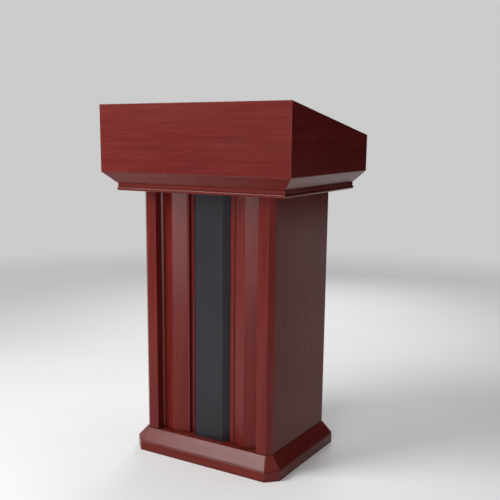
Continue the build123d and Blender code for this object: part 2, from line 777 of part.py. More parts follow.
middle_half = slide_height / 2 - slide_sheet - slide_step
moving_half = middle_half - slide_sheet - slide_step
middle_back = head_inner - slide_sheet - slide_web_gap
with BuildPart() as slide_fixed_rails:
    for side, name in SIDES:
        channel(side, head_inner, head_inner - slide_reach, slide_height / 2)
save(slide_fixed_rails, "slide_fixed_rails")

with BuildPart() as slide_middle_rails:
    for side, name in SIDES:
        channel(side, middle_back, middle_back - middle_reach, middle_half)
save(slide_middle_rails, "slide_middle_rails")

with BuildPart() as slide_moving_rails:
    for side, name in SIDES:
        channel(side, box_half, box_half + moving_reach, moving_half)
save(slide_moving_rails, "slide_moving_rails")
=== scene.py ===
# %% [markdown]
# # A wooden lectern, finished in Blender
# The lectern's boards, hinges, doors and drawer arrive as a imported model, with every
# part at its real size and place. This lesson gives each part its finish, adds the small
# hardware that a cabinet maker would fit last, and sets up a plain studio around it.

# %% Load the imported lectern
import bpy
import json
import math
from mathutils import Matrix, Vector


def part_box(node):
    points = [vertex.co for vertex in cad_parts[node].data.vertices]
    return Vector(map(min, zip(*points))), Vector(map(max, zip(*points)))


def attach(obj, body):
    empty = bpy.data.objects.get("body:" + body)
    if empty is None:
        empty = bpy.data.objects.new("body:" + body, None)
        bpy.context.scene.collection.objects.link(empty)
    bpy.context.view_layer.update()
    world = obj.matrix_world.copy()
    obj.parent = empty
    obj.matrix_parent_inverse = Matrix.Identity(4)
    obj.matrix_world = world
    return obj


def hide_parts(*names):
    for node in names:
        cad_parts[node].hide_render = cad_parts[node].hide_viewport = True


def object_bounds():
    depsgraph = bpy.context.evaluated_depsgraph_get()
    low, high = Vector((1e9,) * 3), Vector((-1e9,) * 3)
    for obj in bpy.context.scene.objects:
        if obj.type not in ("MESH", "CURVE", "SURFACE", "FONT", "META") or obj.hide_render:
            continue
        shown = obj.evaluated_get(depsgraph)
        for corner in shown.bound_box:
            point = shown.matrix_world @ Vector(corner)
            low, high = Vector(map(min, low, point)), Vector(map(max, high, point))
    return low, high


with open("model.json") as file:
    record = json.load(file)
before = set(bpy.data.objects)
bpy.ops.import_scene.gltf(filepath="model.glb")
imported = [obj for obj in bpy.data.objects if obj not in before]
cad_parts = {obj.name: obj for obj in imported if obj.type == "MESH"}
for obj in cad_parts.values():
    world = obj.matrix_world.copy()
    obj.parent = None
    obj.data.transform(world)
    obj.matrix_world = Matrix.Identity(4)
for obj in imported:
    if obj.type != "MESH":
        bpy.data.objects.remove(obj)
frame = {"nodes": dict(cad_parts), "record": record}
cad_box = [list(corner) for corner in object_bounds()]
print("lectern box", cad_box)

# %% [markdown]
# ## Camera
# The camera comes first, so that each later step can be judged in the same view. It
# stands on the audience side, right of the middle and about as high as a seated
# listener's eyes, and looks slightly down. A long lens keeps the uprights almost parallel.

# %% Place the camera
def aim_camera(place, turn, tilt, lens, shift):
    """A camera at a place, turned about the vertical and tilted down, both in degrees."""
    lens_data = bpy.data.cameras.new("audience_camera")
    lens_data.lens = lens
    lens_data.shift_x = shift[0]
    lens_data.shift_y = shift[1]
    camera = bpy.data.objects.new("audience_camera", lens_data)
    bpy.context.scene.collection.objects.link(camera)
    camera.location = place
    camera.rotation_euler = (math.radians(90 - tilt), 0, math.radians(turn))
    bpy.context.scene.camera = camera
    return camera


camera = aim_camera(
    (1.350, -2.236, 1.072), turn=33.09, tilt=11.48, lens=57.1, shift=(0.08, 0.081)
)
bpy.context.scene.view_settings.view_transform = "Standard"
print("camera at", tuple(round(value, 3) for value in camera.location))

# %% [markdown]
# ## Tools for building materials
# Every finish starts as a Principled shader. A few small helpers keep the node code
# short. The first turns the colours of a paint card, written from 0 to 255, into the
# linear values that shaders work in. The others make a material, add a node with its
# settings, mix colours, rescale and combine values, and turn a height into a bump.

# %% Material helpers
def linear(red, green, blue):
    """A shader colour from screen values between 0 and 255."""
    shares = [value / 255 for value in (red, green, blue)]
    curved = [s / 12.92 if s <= 0.04045 else ((s + 0.055) / 1.055) ** 2.4 for s in shares]
    return (*curved, 1.0)


def new_finish(name, **sockets):
    """A material with one Principled shader, and constants set on its own sockets."""
    finish = bpy.data.materials.new(name)
    finish.use_nodes = True
    shader = finish.node_tree.nodes["Principled BSDF"]
    for socket, value in sockets.items():
        shader.inputs[socket.replace("_", " ")].default_value = value
    return finish, finish.node_tree, shader


def add_node(tree, kind, settings=None, **links):
    """Add a node, set its properties and input values, and link sockets given as outputs."""
    node = tree.nodes.new("ShaderNode" + kind)
    for key, value in (settings or {}).items():
        if hasattr(node, key):
            setattr(node, key, value)
        else:
            node.inputs[key].default_value = value
    for key, output in links.items():
        tree.links.new(output, node.inputs[key.replace("_", " ")])
    return node


def add_ramp(tree, factor, stops):
    """A colour ramp with its stops as (position, colour)."""
    ramp = tree.nodes.new("ShaderNodeValToRGB")
    ramp.color_ramp.elements[0].position = stops[0][0]
    ramp.color_ramp.elements[0].color = stops[0][1]
    ramp.color_ramp.elements[1].position = stops[-1][0]
    ramp.color_ramp.elements[1].color = stops[-1][1]
    for position, colour in stops[1:-1]:
        ramp.color_ramp.elements.new(position).color = colour
    tree.links.new(factor, ramp.inputs["Fac"])
    return ramp.outputs["Color"]


def mix_colours(tree, factor, first, second, blend="MIX"):
    """Blend two colour outputs or constants by a factor output or number."""
    mix = tree.nodes.new("ShaderNodeMix")
    mix.data_type = "RGBA"
    mix.blend_type = blend
    for socket, value in ((mix.inputs[0], factor), (mix.inputs[6], first), (mix.inputs[7], second)):
        if isinstance(value, bpy.types.NodeSocket):
            tree.links.new(value, socket)
        else:
            socket.default_value = value
    return mix.outputs[2]


def map_range(tree, value, low, high, to_low, to_high):
    """Rescale a value between two ranges, held inside the second."""
    limits = {"From Min": low, "From Max": high, "To Min": to_low, "To Max": to_high}
    return add_node(tree, "MapRange", limits, Value=value).outputs["Result"]


def combine(tree, operation, first, second):
    """Two value outputs put together by an operation, such as MULTIPLY or MAXIMUM."""
    node = add_node(tree, "Math", {"operation": operation})
    tree.links.new(first, node.inputs[0])
    tree.links.new(second, node.inputs[1])
    return node.outputs[0]


def add_bump(tree, height, strength, distance, **under):
    """A surface direction disturbed by a height value, over another one given as Normal."""
    settings = {"Strength": strength, "Distance": distance}
    return add_node(tree, "Bump", settings, Height=height, **under).outputs["Normal"]


def feed(tree, shader, **outputs):
    """Link outputs to the shader's sockets, such as Base_Color."""
    for socket, output in outputs.items():
        tree.links.new(output, shader.inputs[socket.replace("_", " ")])


WHITE = (1, 1, 1, 1)
print("middle grey of a paint card", tuple(round(value, 3) for value in linear(128, 128, 128)))

# %% [markdown]
# ### Patterns for grain, wear and painted shade
# Wood grain could be drawn line by line, but a noise pattern that is pulled out long in
# one direction looks like it at every scale. Wear and painted shade follow the shape instead.
# One mask compares the true direction of a face with one softened round the edges, and
# so finds the edges. Another feels for anything near the surface, and so finds the corners,
# recesses and joints where shade is painted.

# %% Pattern helpers
def stretched(tree, axis, along, centre=(0.31, 0.17, 0.53)):
    """Object coordinates squeezed along one axis, so that patterns run long in it."""
    scale = [1.0, 1.0, 1.0]
    scale["XYZ".index(axis)] = along
    place = add_node(tree, "TexCoord")
    mapping = add_node(tree, "Mapping", {"Location": centre, "Scale": scale}, Vector=place.outputs["Object"])
    return mapping.outputs["Vector"]


def noise(tree, vector, scale, detail=3.0, roughness=0.55, distortion=0.0):
    """A noise value over the given coordinates."""
    settings = {"Scale": scale, "Detail": detail, "Roughness": roughness, "Distortion": distortion}
    return add_node(tree, "TexNoise", settings, Vector=vector).outputs["Fac"]


def edge_mask(tree, radius, low, high):
    """A value that rises from 0 on a flat face to 1 on an arris, and the softened direction."""
    soft = add_node(tree, "Bevel", {"samples": 6, "Radius": radius})
    true = add_node(tree, "NewGeometry")
    dot = add_node(tree, "VectorMath", {"operation": "DOT_PRODUCT"})
    tree.links.new(soft.outputs["Normal"], dot.inputs[0])
    tree.links.new(true.outputs["Normal"], dot.inputs[1])
    return map_range(tree, dot.outputs["Value"], high, low, 0.0, 1.0), soft.outputs["Normal"]


def open_mask(tree, reach, low, high):
    """A value that is 0 deep in a corner or joint and 1 where nothing is within reach."""
    hollow = add_node(tree, "AmbientOcclusion", {"samples": 6, "Distance": reach})
    return map_range(tree, hollow.outputs["AO"], low, high, 0.0, 1.0)


print("pattern helpers", [helper.__name__ for helper in (stretched, noise, edge_mask, open_mask)])

# %% [markdown]
# ## Stained mahogany veneer
# The boards are faced with a thin slice of wood, stained red-brown and sprayed with a
# semi-gloss lacquer. The grain has a broad figure, narrow streaks and hair-fine pores.
# It follows the length of a board, so the same finish is made three times, once for
# each direction. Handling wears the lacquer pale on the outer edges, and painted shade
# darkens the corners, recesses and joints.

# %% Make the veneer finish
def veneer_finish(axis):
    """Red-brown mahogany veneer under semi-gloss lacquer, with its grain along one axis."""
    finish, tree, shader = new_finish("mahogany_veneer_" + axis, Specular_IOR_Level=0.19)
    flow = stretched(tree, axis, 0.07)
    fine_flow = stretched(tree, axis, 0.022)
    figure = noise(tree, flow, 58.0, detail=6.0, roughness=0.70, distortion=0.5)
    stripes = noise(tree, fine_flow, 170.0, detail=4.0, roughness=0.6)
    patches = noise(tree, flow, 7.0, detail=2.0, roughness=0.5)
    pores = noise(tree, fine_flow, 620.0, detail=2.0)

    # stain, from broad figure to hair-fine pores
    dark, middle, light = linear(90, 24, 22), linear(97, 27, 24), linear(105, 33, 28)
    body = add_ramp(tree, figure, [(0.32, dark), (0.50, middle), (0.70, light)])
    warmth = map_range(tree, patches, 0.42, 0.66, 0.0, 0.35)
    warm = mix_colours(tree, warmth, body, linear(104, 43, 32))
    streaks = add_ramp(tree, stripes, [(0.38, (0.80, 0.77, 0.76, 1)), (0.58, WHITE)])
    streaked = mix_colours(tree, 0.8, warm, streaks, "MULTIPLY")
    pits = add_ramp(tree, pores, [(0.34, (0.70, 0.66, 0.66, 1)), (0.44, WHITE)])
    grained = mix_colours(tree, 0.55, streaked, pits, "MULTIPLY")

    # pale wear on the outer edges, painted shade dark in corners, recesses and joints
    wear, soft_normal = edge_mask(tree, radius=0.0022, low=0.86, high=0.985)
    rubbing = noise(tree, stretched(tree, axis, 0.6), 42.0, detail=4.0)
    scuffs = map_range(tree, rubbing, 0.40, 0.66, 0.15, 0.55)
    openness = open_mask(tree, reach=0.008, low=0.45, high=0.92)
    worn = combine(tree, "MULTIPLY", combine(tree, "MULTIPLY", wear, scuffs), openness)
    # painted shade: the colour is darkened where nearby surfaces close in, in corners, recesses and joints
    painted_shade = mix_colours(tree, openness, (0.36, 0.32, 0.33, 1), WHITE)
    shaded_grain = mix_colours(tree, 1.0, grained, painted_shade, "MULTIPLY")
    coloured = mix_colours(tree, worn, shaded_grain, linear(150, 82, 68))

    # lacquer: cloudy gloss, sunken pores and a trace of orange peel
    cloud = noise(tree, stretched(tree, axis, 0.5), 9.0)
    gloss = map_range(tree, cloud, 0.35, 0.65, 0.21, 0.28)
    peel = noise(tree, stretched(tree, axis, 1.0), 140.0, detail=2.0)
    sunken = add_bump(tree, pores, 0.10, 0.0003, Normal=soft_normal)
    peeled = add_bump(tree, peel, 0.035, 0.001, Normal=sunken)
    feed(tree, shader, Base_Color=coloured, Roughness=gloss, Normal=peeled)
    return finish


veneer = {axis: veneer_finish(axis) for axis in "XYZ"}
print("veneer finishes", [finish.name for finish in veneer.values()])

# %% [markdown]
# ## The dark panel
# A strip of charcoal laminate runs down the middle of the front. It is hard, almost
# black and slightly pebbled, which breaks up its reflections.

# %% Make the laminate finish
def laminate_finish():
    """Charcoal laminate with a fine pebbled face."""
    finish, tree, shader = new_finish("black_insert", Specular_IOR_Level=0.30)
    cloud = noise(tree, stretched(tree, "Z", 0.5), 11.0, detail=4.0, roughness=0.6)
    pebbles = noise(tree, stretched(tree, "Z", 1.0), 950.0, detail=2.0)
    shade = add_ramp(tree, cloud, [(0.30, linear(30, 27, 32)), (0.70, linear(37, 34, 39))])
    specks = add_ramp(tree, pebbles, [(0.38, (0.78, 0.78, 0.8, 1)), (0.55, WHITE)])
    speckled = mix_colours(tree, 0.6, shade, specks, "MULTIPLY")
    gloss = map_range(tree, cloud, 0.3, 0.7, 0.30, 0.40)
    pebbled = add_bump(tree, pebbles, 0.12, 0.0004)
    feed(tree, shader, Base_Color=speckled, Roughness=gloss, Normal=pebbled)
    return finish


laminate = laminate_finish()
print("laminate", laminate.name, "nodes", len(laminate.node_tree.nodes))

# %% [markdown]
# ## Plain boards
# What nobody sees from the hall is left plain. Chipboard and softwood show short
# fibres and chips, and the drawer box wears a smooth pale foil printed like birch.

# %% Make the plain board finishes
def chip_board_finish():
    """Unfinished pressed board: short chips in several tones, dry and rough."""
    finish, tree, shader = new_finish("raw_board", Specular_IOR_Level=0.2)
    flat = stretched(tree, "X", 0.45)
    cells = add_node(tree, "TexVoronoi", {"Scale": 230.0, "Randomness": 1.0}, Vector=flat)
    tone = add_node(tree, "SeparateColor", Color=cells.outputs["Color"]).outputs["Red"]
    dark, middle, light = linear(150, 116, 80), linear(184, 150, 110), linear(206, 176, 134)
    chips = add_ramp(tree, tone, [(0.0, dark), (0.5, middle), (1.0, light)])
    dust = noise(tree, flat, 60.0, detail=5.0, roughness=0.7)
    shade = add_ramp(tree, dust, [(0.35, (0.82, 0.8, 0.78, 1)), (0.6, WHITE)])
    dusty = mix_colours(tree, 0.7, chips, shade, "MULTIPLY")
    dryness = map_range(tree, dust, 0.3, 0.7, 0.72, 0.9)
    chipped = add_bump(tree, tone, 0.3, 0.0004)
    feed(tree, shader, Base_Color=dusty, Roughness=dryness, Normal=chipped)
    return finish


def foil_board_finish():
    """Pale foil-faced drawer board with a faint printed grain along Y."""
    finish, tree, shader = new_finish("drawer_board", Specular_IOR_Level=0.35)
    flow = stretched(tree, "Y", 0.06)
    figure = noise(tree, flow, 34.0, detail=5.0, roughness=0.6, distortion=0.8)
    lines = noise(tree, flow, 240.0, detail=2.0)
    dark, middle, light = linear(172, 138, 98), linear(196, 164, 122), linear(210, 182, 140)
    body = add_ramp(tree, figure, [(0.32, dark), (0.55, middle), (0.72, light)])
    hairs = add_ramp(tree, lines, [(0.36, (0.84, 0.8, 0.76, 1)), (0.5, WHITE)])
    printed = mix_colours(tree, 0.6, body, hairs, "MULTIPLY")
    gloss = map_range(tree, figure, 0.3, 0.7, 0.42, 0.52)
    pressed = add_bump(tree, lines, 0.06, 0.0003)
    feed(tree, shader, Base_Color=printed, Roughness=gloss, Normal=pressed)
    return finish


chip_board = chip_board_finish()
foil_board = foil_board_finish()
print("plain boards", chip_board.name, foil_board.name)

# %% [markdown]
# ## Metals and plastic
# Hinges are brass plated, knobs and lock satin nickel, and slides, screws and
# fittings zinc plated. Plated metal is told apart by its colour, by how blurred its
# reflections are, and by the fine marks that brushing or tumbling left in it.

# %% Make the metal and plastic finishes
def plated_finish(name, light, dark, blur, brushed_axis="X"):
    """Plated steel with fine brushing, faint stains and blurred reflections."""
    finish, tree, shader = new_finish(name, Metallic=1.0)
    brushing = noise(tree, stretched(tree, brushed_axis, 0.05), 1500.0, detail=2.0)
    stains = noise(tree, stretched(tree, brushed_axis, 0.9), 160.0, detail=5.0, roughness=0.65)
    body = add_ramp(tree, stains, [(0.34, dark), (0.62, light)])
    blurred = map_range(tree, brushing, 0.3, 0.7, blur - 0.05, blur + 0.07)
    brushed = add_bump(tree, brushing, 0.05, 0.0001)
    feed(tree, shader, Base_Color=body, Roughness=blurred, Normal=brushed)
    return finish


def moulded_finish(name, light, dark):
    """Matt moulded plastic with a fine spark-eroded grain."""
    finish, tree, shader = new_finish(name, Specular_IOR_Level=0.4)
    even = stretched(tree, "X", 1.0)
    grain = noise(tree, even, 1400.0, detail=2.0)
    cloud = noise(tree, even, 70.0)
    body = add_ramp(tree, cloud, [(0.35, dark), (0.65, light)])
    dullness = map_range(tree, grain, 0.3, 0.7, 0.45, 0.6)
    grained = add_bump(tree, grain, 0.15, 0.0002)
    feed(tree, shader, Base_Color=body, Roughness=dullness, Normal=grained)
    return finish


finishes = {
    "black_insert": laminate,
    "raw_board": chip_board,
    "drawer_board": foil_board,
    "zinc_steel": plated_finish("zinc_steel", linear(196, 199, 202), linear(168, 170, 170), 0.36),
    "hinge_brass": plated_finish("hinge_brass", linear(205, 168, 96), linear(176, 138, 70), 0.28),
    "satin_nickel": plated_finish("satin_nickel", linear(200, 196, 188), linear(178, 173, 164), 0.26, "Z"),
    "catch_plastic": moulded_finish("catch_plastic", linear(92, 52, 40), linear(76, 42, 33)),
}
print("finishes", sorted(finishes))

# %% [markdown]
# ## Give every board its finish
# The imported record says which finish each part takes. For veneer the direction of
# the grain is added: it follows the longest side of a board, and the two short corner
# pieces of the plinth carry on the horizontal grain of their neighbours.

# %% Assign the finishes
slot_of = {row["node"]: row["material_slot"] for row in frame["record"]["subparts"]}


def grain_axis(node):
    """The axis that a board's grain runs along."""
    if node.startswith("plinth_corner"):
        return "X"
    low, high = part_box(node)
    sides = list(high - low)
    return "XYZ"[sides.index(max(sides))]


for node, board in frame["nodes"].items():
    slot = slot_of[node]
    finish = veneer[grain_axis(node)] if slot == "mahogany_veneer" else finishes[slot]
    board.data.materials.clear()
    board.data.materials.append(finish)
print("finished parts", len(frame["nodes"]))

# %% [markdown]
# ## Small hardware
# Close up, a cabinet is judged by its hardware: crossed slots in the screws, a key in
# the lock, the pole plates of the magnets. These pieces are made as by hand: a
# primitive is added at its size, shaped in edit mode and finished with modifiers. Some
# helpers come first. Each deselects everything, and they choose faces by the way they
# look, apply modifiers, and bring a finished piece home, so that its object sits at
# the origin.

# %% Modelling helpers
MM = 0.001
FACING = 0.9           # cosine between a face's direction and an axis, above which it is chosen


def start_afresh():
    """Deselect everything, so that an operator works on the new piece alone."""
    if bpy.context.object and bpy.context.object.mode == "EDIT":
        bpy.ops.object.mode_set(mode="OBJECT")
    bpy.ops.object.select_all(action="DESELECT")


def take_up(piece):
    """Make one piece the only one selected."""
    start_afresh()
    bpy.context.view_layer.objects.active = piece
    piece.select_set(True)


def bring_home(piece, name):
    """Name a piece and put its place, turn and size into its mesh."""
    take_up(piece)
    bpy.ops.object.transform_apply(location=True, rotation=True, scale=True)
    piece.name = name
    piece.data.name = name
    return piece


def choose_faces(piece, wanted):
    """Enter edit mode with just the faces for which wanted(centre, normal) is true."""
    take_up(piece)
    bpy.ops.object.mode_set(mode="EDIT")
    bpy.ops.mesh.select_mode(type="FACE")
    bpy.ops.mesh.select_all(action="DESELECT")
    bpy.ops.object.mode_set(mode="OBJECT")
    for face in piece.data.polygons:
        face.select = wanted(face.center, face.normal)
    bpy.ops.object.mode_set(mode="EDIT")


def facing(x, y, z):
    """A test for faces that look along a direction."""
    return lambda centre, normal: normal.dot(Vector((x, y, z))) > FACING


def apply_modifier(piece, kind, **settings):
    """Add a modifier with its settings and apply it."""
    take_up(piece)
    modifier = piece.modifiers.new(kind.lower(), kind)
    for key, value in settings.items():
        setattr(modifier, key, value)
    bpy.ops.object.modifier_apply(modifier=modifier.name)


def work_in(piece, tool, operation):
    """Unite a piece with a tool, or cut the tool out of it, and put the tool away."""
    apply_modifier(piece, "BOOLEAN", operation=operation, object=tool, solver="EXACT")
    bpy.data.objects.remove(tool)


def soften(piece, width, angle):
    """Round the edges that are sharper than an angle in degrees, and shade the piece smooth."""
    apply_modifier(
        piece, "BEVEL", width=width, segments=2, limit_method="ANGLE", angle_limit=math.radians(angle)
    )
    bpy.ops.object.shade_smooth_by_angle(angle=math.radians(35))


print("modelling unit", MM, "m")

# %% [markdown]
# ### Copying and fitting
# What repeats is modelled once, lying at the origin, and copied to its places. Every
# copy has its own mesh, and the copies of one kind are joined into one piece. The piece
# is then fitted out with its finish and with the body of the lectern that carries it.

# %% Copying and fitting helpers
def copy_to(piece, place, *turns):
    """A copy with its own mesh, turned by (degrees, axis) pairs in order and then moved."""
    twin = piece.copy()
    twin.data = piece.data.copy()
    bpy.context.scene.collection.objects.link(twin)
    pose = Matrix.Identity(4)
    for degrees, axis in turns:
        pose = Matrix.Rotation(math.radians(degrees), 4, axis) @ pose
    twin.matrix_world = Matrix.Translation(place) @ pose
    return twin


def join_pieces(pieces, name):
    """Join copies into one piece and bring it home."""
    start_afresh()
    for piece in pieces:
        piece.select_set(True)
    bpy.context.view_layer.objects.active = pieces[0]
    if len(pieces) > 1:
        bpy.ops.object.join()
    return bring_home(bpy.context.object, name)


def fit_out(piece, body, slot, *stands_for):
    """Give a piece its finish, body and slot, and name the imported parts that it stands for."""
    piece.data.materials.clear()
    piece.data.materials.append(finishes[slot])
    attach(piece, body)
    if stands_for:
        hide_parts(*stands_for)
    print(piece.name, "faces", len(piece.data.polygons), "on", body)


print("finishes to fit out with", sorted(finishes))

# %% [markdown]
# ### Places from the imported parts
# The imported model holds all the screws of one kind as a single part. Their places
# could be typed in again, but then they would go wrong when a board changes. So the
# loose solids of the part are told apart by following which triangles share corners,
# and the box of each gives the place and the size of a new piece.

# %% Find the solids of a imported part
def separate_boxes(node):
    """The (lowest, highest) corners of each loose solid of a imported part."""
    mesh = frame["nodes"][node].data
    leader = {}

    def lead(key):
        while leader.setdefault(key, key) != key:
            key = leader[key]
        return key

    keys = [tuple(round(value * 1e5) for value in vertex.co) for vertex in mesh.vertices]
    for face in mesh.polygons:
        first = lead(keys[face.vertices[0]])
        for corner in face.vertices[1:]:
            leader[lead(keys[corner])] = first
    groups = {}
    for vertex, key in zip(mesh.vertices, keys):
        groups.setdefault(lead(key), []).append(vertex.co)
    boxes = []
    for points in groups.values():
        low = Vector(min(point[axis] for point in points) for axis in range(3))
        high = Vector(max(point[axis] for point in points) for axis in range(3))
        boxes.append((low, high))
    return sorted(boxes, key=lambda box: (round(box[0].z, 4), round(box[0].y, 4), box[0].x))


frame_screw_boxes = separate_boxes("hinge_frame_screws")
cam_disc_boxes = separate_boxes("cam_discs")
catch_boxes = separate_boxes("magnetic_catches")
print("frame screws", len(frame_screw_boxes), "cam discs", len(cam_disc_boxes), "catches", len(catch_boxes))

# %% [markdown]
# ### Hinge screws
# A hinge screw is a flat disc with a crossed slot over a tapering threaded shank. The
# head is a cylinder whose face is inset and dropped a little, and a tapered cross, made
# from two thin blocks, is cut out of it. The shank grows out of the underside in short
# steps, narrowed and widened in turn. A true spiral would cost more faces and look no
# different once the shank is in the board, so the thread is a row of rings.

# %% Model a crossed screw, pointing along -Z with its head at the top
SCREW_HEAD = 1.2 * MM          # height of the head
SCREW_SHANK = 1.45 * MM        # radius of the shank under the head
THREAD_TURNS = 9
THREAD_ROOT = 0.78             # radius between two rings, as a share of the ring before
RING_TAPER = 0.97              # radius of a ring, as a share of the ring before
TIP_TAPER = 0.86               # the same for the last three rings
SLOT_TAPER = 0.35              # width at the bottom of a crossed slot, as a share of the top


def crossed_cutter(reach, width, depth, top):
    """Two thin blocks at right angles that narrow downwards, to cut a crossed slot."""
    blades = []
    for turn in (0, math.radians(90)):
        start_afresh()
        bpy.ops.mesh.primitive_cube_add(size=1, location=(0, 0, top - depth / 2), rotation=(0, 0, turn))
        blade = bpy.context.object
        blade.scale = (2 * reach, width, depth)
        bring_home(blade, "blade")
        choose_faces(blade, facing(0, 0, -1))
        bpy.ops.transform.resize(value=(SLOT_TAPER, SLOT_TAPER, 1))
        blades.append(blade)
    work_in(blades[0], blades[1], "UNION")
    return blades[0]


def grow(distance, share):
    """Extrude the chosen faces down by a distance and make them a share as wide."""
    bpy.ops.mesh.extrude_region_move(TRANSFORM_OT_translate={"value": (0, 0, -distance)})
    bpy.ops.transform.resize(value=(share, share, 1))


def crossed_screw(head_radius, shank_radius, length):
    """A flat-headed screw with a crossed slot and rings for its thread."""
    start_afresh()
    bpy.ops.mesh.primitive_cylinder_add(
        vertices=28, radius=head_radius, depth=SCREW_HEAD, location=(0, 0, -SCREW_HEAD / 2)
    )
    screw = bring_home(bpy.context.object, "screw")
    choose_faces(screw, facing(0, 0, 1))
    bpy.ops.mesh.inset(thickness=head_radius * 0.12)
    bpy.ops.transform.translate(value=(0, 0, -SCREW_HEAD * 0.06))

    choose_faces(screw, facing(0, 0, -1))
    bpy.ops.mesh.inset(thickness=head_radius - shank_radius)
    step = (length - SCREW_HEAD) / (THREAD_TURNS + 1)
    for turn in range(THREAD_TURNS):
        taper = RING_TAPER if turn < THREAD_TURNS - 3 else TIP_TAPER
        grow(step / 2, THREAD_ROOT)
        grow(step / 2, taper / THREAD_ROOT)
    grow(step, 0.2)

    cross = crossed_cutter(head_radius * 0.58, head_radius * 0.24, SCREW_HEAD * 0.75, SCREW_HEAD * 0.05)
    work_in(screw, cross, "DIFFERENCE")
    soften(screw, 0.05 * MM, angle=40)
    return screw


screw_low, screw_high = frame_screw_boxes[0]
screw_size = screw_high - screw_low
master_screw = crossed_screw(screw_size.y / 2, SCREW_SHANK, screw_size.x)
print("screw", tuple(round(size / MM, 2) for size in master_screw.dimensions), "mm")

# %% [markdown]
# ### Screws in place
# No two screws in a cabinet stop with their slots at the same angle, so each copy is
# turned a little further than the last. The heads lie on the leaves of the hinges: the
# frame's leaves face the middle of the cupboard and the doors' leaves face away from it.

# %% Set the screws in the hinge leaves
def set_screws(node, body, toward_middle):
    """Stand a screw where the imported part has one, its head toward the middle or away."""
    copies = []
    for low, high in separate_boxes(node):
        centre = (low + high) / 2
        heads_left = (centre.x > 0) == toward_middle
        face = low.x if heads_left else high.x
        turns = ((-90 if heads_left else 90, "Y"), (37 * len(copies), "X"))
        copies.append(copy_to(master_screw, (face, centre.y, centre.z), *turns))
    fit_out(join_pieces(copies, node.replace("screws", "crossed_screws")), body, "zinc_steel", node)


set_screws("hinge_frame_screws", "carcass", toward_middle=True)
set_screws("door_left_hinge_screws", "door_left", toward_middle=False)
set_screws("door_right_hinge_screws", "door_right", toward_middle=False)
bpy.data.objects.remove(master_screw)

# %% [markdown]
# ### Cam discs
# The discs in the side boards are zinc castings with a crossed slot for a screwdriver
# and a small arrow that points at the bolt. Each is a short cylinder with a raised rim,
# cut by the same kind of cross, by a three-sided cone for the arrow, and by a bore that
# lets its bolt in.

# %% Model a cam disc, facing +Z with its arrow along +Y
CAM_FLOOR = 0.5 * MM           # depth of the face inside the rim
CAM_SLOT_DEPTH = 3.0 * MM
CAM_BORE = 3.2 * MM            # radius of the bore for the bolt
CAM_BORE_DEPTH = 9.0 * MM      # from the face to the middle of the bolt


def cam_disc(radius, depth):
    """A cam disc with a rim, a crossed slot, an arrow and a bore."""
    start_afresh()
    bpy.ops.mesh.primitive_cylinder_add(
        vertices=40, radius=radius, depth=depth, location=(0, 0, -depth / 2)
    )
    disc = bring_home(bpy.context.object, "disc")
    choose_faces(disc, facing(0, 0, 1))
    bpy.ops.mesh.inset(thickness=radius * 0.12)
    bpy.ops.mesh.inset(thickness=radius * 0.05)
    bpy.ops.transform.translate(value=(0, 0, -CAM_FLOOR))
    work_in(disc, crossed_cutter(radius * 0.42, radius * 0.17, CAM_SLOT_DEPTH, top=0.0), "DIFFERENCE")

    start_afresh()
    bpy.ops.mesh.primitive_cone_add(
        vertices=3, radius1=radius * 0.20, radius2=radius * 0.16,
        depth=1.2 * MM, location=(0, radius * 0.66, -0.8 * MM)
    )
    work_in(disc, bring_home(bpy.context.object, "arrow"), "DIFFERENCE")

    start_afresh()
    bpy.ops.mesh.primitive_cylinder_add(
        vertices=24, radius=CAM_BORE, depth=radius * 1.9,
        location=(0, radius * 0.6, -CAM_BORE_DEPTH), rotation=(math.radians(90), 0, 0)
    )
    work_in(disc, bring_home(bpy.context.object, "bore"), "DIFFERENCE")
    soften(disc, 0.12 * MM, angle=40)
    return disc


disc_low, disc_high = cam_disc_boxes[0]
disc_size = disc_high - disc_low
master_disc = cam_disc(disc_size.y / 2, disc_size.x)
print("disc", tuple(round(size / MM, 2) for size in master_disc.dimensions), "mm")

# %% [markdown]
# ### Discs in place
# A disc sits flush in the inner face of a side board, so each copy is turned to look
# at the middle of the cupboard. Its arrow points at the nearer end of the board, where
# the bolt comes in, and so the lower discs are turned over.

# %% Set the discs in the side boards
disc_copies = []
for low, high in cam_disc_boxes:
    centre = (low + high) / 2
    side = 1 if centre.x > 0 else -1
    turns = [(90, "X"), (-90 * side, "Z")]
    if centre.z < (cad_box[0][2] + cad_box[1][2]) / 2:
        turns.append((180, "X"))
    disc_copies.append(copy_to(master_disc, (low.x if side > 0 else high.x, centre.y, centre.z), *turns))
bpy.data.objects.remove(master_disc)
fit_out(join_pieces(disc_copies, "crossed_cam_discs"), "carcass", "zinc_steel", "cam_discs")

# %% [markdown]
# ### Key
# A small flat key stands in the lock and turns with its plug. Its bow is stamped from
# sheet with a hole for the ring. It could be a bent ring, but a stamped bow is flat with
# square rims, so it starts as a flat cylinder whose two faces are inset and bridged
# into a hole.

# %% Model the bow of the key
plug_low, plug_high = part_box("door_lock_plug")
plug_centre = (plug_low + plug_high) / 2
bow_radius = 10.5 * MM
bow_thickness = 1.5 * MM
bow_rim = 0.55                 # width of the ring that is left, as a share of the radius
bow_y = plug_high.y + 15.0 * MM

start_afresh()
bpy.ops.mesh.primitive_cylinder_add(
    vertices=48, radius=bow_radius, depth=bow_thickness,
    location=(plug_centre.x, bow_y, plug_centre.z), rotation=(0, math.radians(90), 0)
)
lock_key = bring_home(bpy.context.object, "lock_key")
choose_faces(lock_key, lambda centre, normal: abs(normal.x) > FACING)
bpy.ops.mesh.inset(thickness=bow_radius * bow_rim, use_individual=True)
bpy.ops.mesh.bridge_edge_loops()
start_afresh()
print("bow", tuple(round(size / MM, 2) for size in lock_key.dimensions), "mm")

# %% [markdown]
# ### Blade
# The blade of the key is milled with a few slanting cuts that lift the pins of the
# lock. It starts as a block that is bisected along its length, and some of its lower
# faces are lifted, so that the faces between them become the slopes of the cuts.

